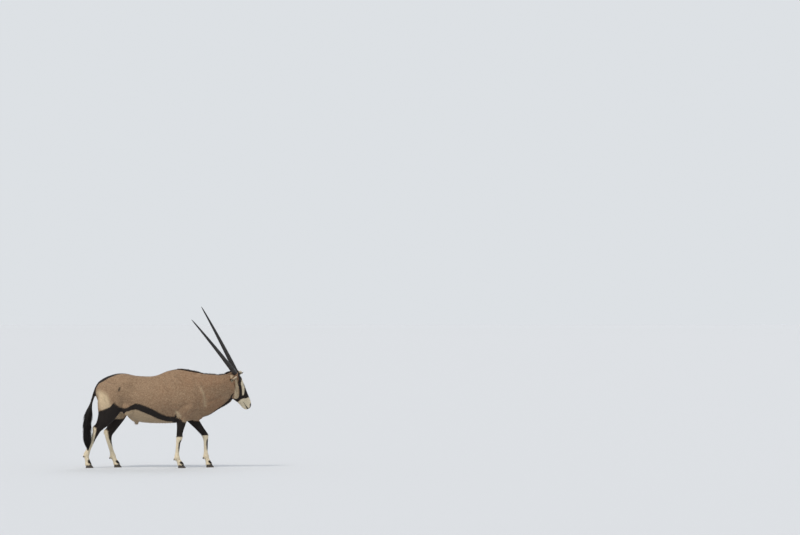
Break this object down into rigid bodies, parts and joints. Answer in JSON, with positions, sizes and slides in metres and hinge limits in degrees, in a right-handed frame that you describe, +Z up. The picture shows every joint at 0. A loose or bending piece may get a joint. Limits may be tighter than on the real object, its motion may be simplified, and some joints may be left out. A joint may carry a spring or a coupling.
{
  "type": "gemsbok",
  "caption": "Life-size still model of an adult gemsbok bull in mid stride, head lowered, with long ringed horns, a short mane and a brush tail.",
  "frame": {"origin": "on the floor under the middle of the model's box", "axes": "+X forwards, from the tail to the head, +Y to the animal's left, +Z up"},
  "size_m": [2.0184, 0.7215, 1.9421],
  "materials": {
    "hide": "short flat grey-fawn coat with black and white markings",
    "dark_hide": "short flat black coat",
    "pale_hide": "short flat whitish coat with black patches",
    "hair": "long black tail hair",
    "horn": "ringed dark horn, smoother and glossier towards the tip",
    "hoof": "dark horny hoof",
    "eye": "wet dark brown eye"
  },
  "bodies": {
    "root": {"torso": "hide", "neck": "hide", "head": "hide", "ear_left": "hide", "ear_right": "hide", "eye_left": "eye", "eye_right": "eye", "horn_left": "horn", "horn_right": "horn", "tail": "hair", "foreleg_left_upper": "dark_hide", "foreleg_left_lower": "pale_hide", "foreleg_right_upper": "dark_hide", "foreleg_right_lower": "pale_hide", "hindleg_left_upper": "dark_hide", "hindleg_left_lower": "pale_hide", "hindleg_right_upper": "dark_hide", "hindleg_right_lower": "pale_hide", "hoof_foreleg_left_outer": "hoof", "hoof_foreleg_left_inner": "hoof", "hoof_foreleg_right_outer": "hoof", "hoof_foreleg_right_inner": "hoof", "hoof_hindleg_left_outer": "hoof", "hoof_hindleg_left_inner": "hoof", "hoof_hindleg_right_outer": "hoof", "hoof_hindleg_right_inner": "hoof"}
  },
  "joints": []
}
